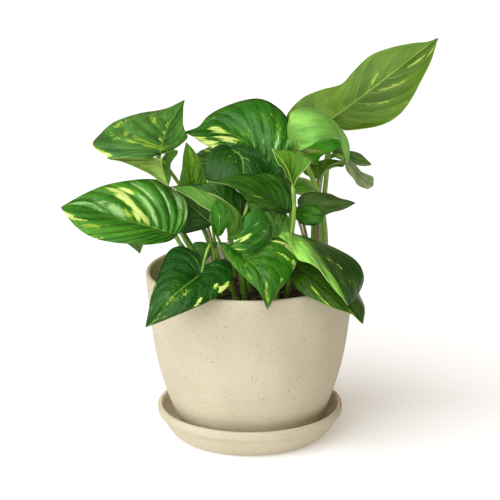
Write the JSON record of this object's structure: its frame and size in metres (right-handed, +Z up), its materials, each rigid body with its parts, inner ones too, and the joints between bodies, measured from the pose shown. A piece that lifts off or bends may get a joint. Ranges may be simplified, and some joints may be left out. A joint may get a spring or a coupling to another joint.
{
  "type": "potted pothos plant",
  "caption": "Trailing house plant with heart-shaped marbled green leaves on thin stalks, in a round flared pot of soil standing on a matching saucer.",
  "frame": {"origin": "centre of the saucer's underside, on the surface the plant stands on", "axes": "+Z up along the pot's axis, the plant's best side faces -Y, the tallest leaf leans towards +X"},
  "size_m": [0.2932, 0.2117, 0.3161],
  "materials": {
    "bioplastic": "matte cream with fine brown fibre specks",
    "potting_soil": "rough dark peat and bark",
    "leaf": "waxy green marbled with yellow-green",
    "stalk": "smooth pale green"
  },
  "bodies": {
    "root": {"saucer": "bioplastic", "pot": "bioplastic", "soil": "potting_soil", "leaf_far_left": "leaf", "stalk_far_left": "stalk", "leaf_upper_left": "leaf", "stalk_upper_left": "stalk", "leaf_under_upper_left": "leaf", "stalk_under_upper_left": "stalk", "leaf_top_back": "leaf", "stalk_top_back": "stalk", "leaf_heart_middle": "leaf", "stalk_heart_middle": "stalk", "leaf_long_middle": "leaf", "stalk_long_middle": "stalk", "leaf_rolled_long": "leaf", "stalk_rolled_long": "stalk", "leaf_small_bright": "leaf", "stalk_small_bright": "stalk", "leaf_glossy_front": "leaf", "stalk_glossy_front": "stalk", "leaf_front_centre": "leaf", "stalk_front_centre": "stalk", "leaf_front_right_top": "leaf", "stalk_front_right_top": "stalk", "leaf_front_right_low": "leaf", "stalk_front_right_low": "stalk", "leaf_front_left": "leaf", "stalk_front_left": "stalk", "leaf_small_left": "leaf", "stalk_small_left": "stalk", "leaf_back_left": "leaf", "stalk_back_left": "stalk", "leaf_tall_right": "leaf", "stalk_tall_right": "stalk", "leaf_dome_right": "leaf", "stalk_dome_right": "stalk", "leaf_underside_middle": "leaf", "stalk_underside_middle": "stalk", "leaf_shade_right": "leaf", "stalk_shade_right": "stalk", "leaf_hanging_right": "leaf", "stalk_hanging_right": "stalk", "leaf_tip_right": "leaf", "stalk_tip_right": "stalk", "leaf_right_mid": "leaf", "stalk_right_mid": "stalk", "leaf_round_right": "leaf", "stalk_round_right": "stalk", "leaf_shade_left": "leaf", "stalk_shade_left": "stalk", "leaf_upright_left": "leaf", "stalk_upright_left": "stalk", "leaf_inner_striped": "leaf", "stalk_inner_striped": "stalk", "leaf_rear_middle": "leaf", "stalk_rear_middle": "stalk", "leaf_rear_right": "leaf", "stalk_rear_right": "stalk"}
  },
  "joints": []
}
